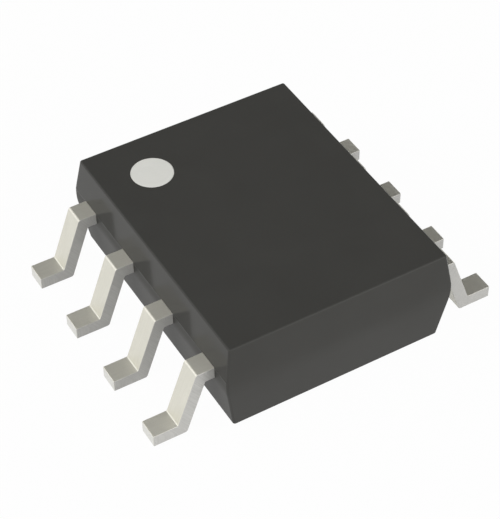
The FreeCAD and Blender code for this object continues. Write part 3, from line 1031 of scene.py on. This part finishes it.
profile = [(MARK_RADIUS, -MARK_DEPTH), (MARK_RADIUS, -MARK_ROLL)]
for step in range(1, ROLL_STEPS + 1):
    turn = math.radians(90) * step / ROLL_STEPS
    profile.append(
        (MARK_RADIUS - MARK_ROLL * (1 - math.cos(turn)), -MARK_ROLL * (1 - math.sin(turn)))
    )
for step in range(1, MARK_RINGS):
    profile.append(((MARK_RADIUS - MARK_ROLL) * (1 - step / MARK_RINGS), 0.0))
print("rings in the mark:", len(profile))

# %% Mark
WAVER = 0.0012
WAVES_IN_A_MM = 9

spot = bmesh.new()
rows = []
for radius, level in profile:
    row = []
    for step in range(SEAT_POINTS):
        turn = 2 * math.pi * step / SEAT_POINTS
        place = Vector((radius * math.cos(turn), radius * math.sin(turn), level))
        dip = 0
        if level > -MARK_DEPTH:
            dip = WAVER * (1 + value_noise.noise(place * WAVES_IN_A_MM))
        row.append(spot.verts.new((MARK_AT + place - Vector((0, 0, dip))) * MM))
    rows.append(row)
for lower, upper in zip(rows, rows[1:]):
    for step in range(SEAT_POINTS):
        following = (step + 1) % SEAT_POINTS
        spot.faces.new((lower[step], lower[following], upper[following], upper[step]))
spot.faces.new(rows[-1])
spot.faces.new(list(reversed(rows[0])))
bmesh.ops.recalc_face_normals(spot, faces=spot.faces)
for face in spot.faces:
    face.smooth = len(face.verts) == 4
mesh = bpy.data.meshes.new("ink_spot")
spot.to_mesh(mesh)
spot.free()
mark = bpy.data.objects.new("ink_spot", mesh)
studio.collection.objects.link(mark)
mark.data.materials.append(ink)
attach(mark, "root")
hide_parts("pin_one_mark")
print("faces in the mark:", len(mesh.polygons))

# %% [markdown]
# ## Table, sky and lamps
# The picture is a product shot: white all round, soft light, no hard shadow. The table is a plain
# pale plane that still takes the chip's faint shadow. Its white comes from the material and not
# from more light: what the camera or a glossy face sees of it is mostly a white of strength one.
# From below it lets the view through, so that the underside can be looked at. A square is drawn
# as two triangles, and their seam would show as a faint dark line on the underside that hangs so
# close above it. So the table's middle is set off to one side, and the seam passes the chip by.

# %% Table
TABLE_HALF = 0.6
TABLE_MIDDLE = 0.15
TABLE_DROP = 0.002

mesh = bpy.data.meshes.new("table")
corners = [(-TABLE_HALF, -TABLE_HALF), (TABLE_HALF, -TABLE_HALF)]
corners += [(TABLE_HALF, TABLE_HALF), (-TABLE_HALF, TABLE_HALF)]
mesh.from_pydata(
    [(x, y + TABLE_MIDDLE, -TABLE_DROP * MM) for x, y in corners], [], [(0, 1, 2, 3)]
)
table = bpy.data.objects.new("table", mesh)
studio.collection.objects.link(table)
table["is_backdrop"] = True
print("table:", 2 * TABLE_HALF, "m wide")

# %% White paper
TABLE_WHITE = 0.975
TABLE_GREY = 0.6

paper = bpy.data.materials.new("white_table")
paper.use_nodes = True
tree = paper.node_tree
tree.nodes.clear()
ray = add_node(tree, "ShaderNodeLightPath")
seen = add_node(
    tree, "ShaderNodeMath",
    {0: ray.outputs["Is Camera Ray"], 1: ray.outputs["Is Glossy Ray"]}, operation="MAXIMUM",
)
seen = add_node(
    tree, "ShaderNodeMath", {0: seen.outputs[0], 1: ray.outputs["Is Transmission Ray"]},
    operation="MAXIMUM",
)
share = add_node(
    tree, "ShaderNodeMath", {0: seen.outputs[0], 1: TABLE_WHITE}, operation="MULTIPLY"
)
chalk = add_node(
    tree, "ShaderNodeBsdfDiffuse", {"Color": (TABLE_GREY, TABLE_GREY, TABLE_GREY, 1)}
)
white = add_node(tree, "ShaderNodeEmission", {"Strength": 1.0})
paper_face = add_node(
    tree, "ShaderNodeMixShader", {0: share.outputs[0], 1: chalk.outputs[0], 2: white.outputs[0]}
)
clear = add_node(tree, "ShaderNodeBsdfTransparent")
face_side = add_node(tree, "ShaderNodeNewGeometry")
two_sided = add_node(
    tree, "ShaderNodeMixShader",
    {0: face_side.outputs["Backfacing"], 1: paper_face.outputs[0], 2: clear.outputs[0]},
)
add_node(tree, "ShaderNodeOutputMaterial", {"Surface": two_sided.outputs[0]})
mesh.materials.append(paper)
print("paper:", len(tree.nodes), "nodes")

# %% [markdown]
# The sky is a white light tent, plain white of strength one. A black card hangs in it over the far
# side, just where faces that look up would mirror the tent into the camera. So the top of the
# body and the feet show their own colour, without a pale film over it, while the legs and the
# tips, which mirror the table, stay bright. A tent that is grey all over would make every face
# alike. The card itself is kept out of the camera's sight, so that any view has a white ground.

# %% Sky and card
CARD_TOWARDS = Vector((0.40, 0.59, 0.70)).normalized()
CARD_DISTANCE = 0.32
CARD_RADIUS = 0.33
CARD_POINTS = 64

sky = bpy.data.worlds.new("light_tent")
studio.world = sky
sky.use_nodes = True
tree = sky.node_tree
tree.nodes.clear()
glow = add_node(tree, "ShaderNodeBackground", {"Color": (1, 1, 1, 1), "Strength": 1.0})
add_node(tree, "ShaderNodeOutputWorld", {"Surface": glow.outputs[0]})

mesh = bpy.data.meshes.new("black_card")
rim = circle_points((0, 0), CARD_RADIUS, 0, CARD_POINTS)
mesh.from_pydata(rim, [], [tuple(range(CARD_POINTS))])
card = bpy.data.objects.new("black_card", mesh)
studio.collection.objects.link(card)
card.location = CARD_TOWARDS * CARD_DISTANCE
card.rotation_mode = "QUATERNION"
card.rotation_quaternion = CARD_TOWARDS.to_track_quat("Z", "Y")
card.visible_camera = False
card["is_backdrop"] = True
felt, tree, shader = new_material("black_felt")
shader.inputs["Base Color"].default_value = (0.004, 0.004, 0.004, 1)
shader.inputs["Roughness"].default_value = 1.0
shader.inputs["Specular IOR Level"].default_value = 0.0
mesh.materials.append(felt)
card_reach = math.degrees(math.atan(CARD_RADIUS / CARD_DISTANCE))
print("card covers", round(card_reach), "degrees each way")

# %% [markdown]
# Three round soft boxes: a key from the side of the near leads, a low fill from the front right
# and a faint one from the back left. The fill comes along the body's long side, so it reaches the
# side of the corner lead but not of the other three, which stand in the lee of the body: in the
# picture that one side is the brightest of the four. The faint one brightens what the body's
# smooth side mirrors of the shoulders, so that only the leads' dark side faces show there as
# wedges. A lamp's energy is written as the brightness it gives to white paper that faces it, so
# the numbers stay comparable when a lamp is moved or made larger.

# %% Lamps
LAMP_DISTANCE = 0.3


def add_softbox(name, towards, size, brightness):
    """A round area lamp that makes white paper which faces it render as `brightness`."""
    lamp = bpy.data.lights.new(name, "AREA")
    lamp.shape = "DISK"
    lamp.size = size
    area = math.pi * size**2 / 4
    glow = brightness * math.pi / (area / LAMP_DISTANCE**2)
    lamp.energy = glow * area * math.pi
    holder = bpy.data.objects.new(name, lamp)
    studio.collection.objects.link(holder)
    aim = Vector(towards).normalized()
    holder.location = aim * LAMP_DISTANCE
    holder.rotation_mode = "QUATERNION"
    holder.rotation_quaternion = aim.to_track_quat("Z", "Y")
    print(name, "energy, W:", round(lamp.energy, 3))


add_softbox("key", (-0.9, 0.0, 0.8), 0.2, 0.34)
add_softbox("fill", (0.45, -0.87, 0.24), 0.13, 0.32)
add_softbox("back", (-0.54, 0.61, 0.575), 0.2, 0.13)

# %% [markdown]
# Blender must not change the part's size: the box of what is shown is measured against the box
# of the solids, and the largest difference between the two is printed.

# %% Measure and finish
low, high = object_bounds()
gaps = [abs(a - b) / MM for a, b in zip((*cad_low, *cad_high), (*low, *high))]
print("largest difference of the boxes, mm:", round(max(gaps), 5))
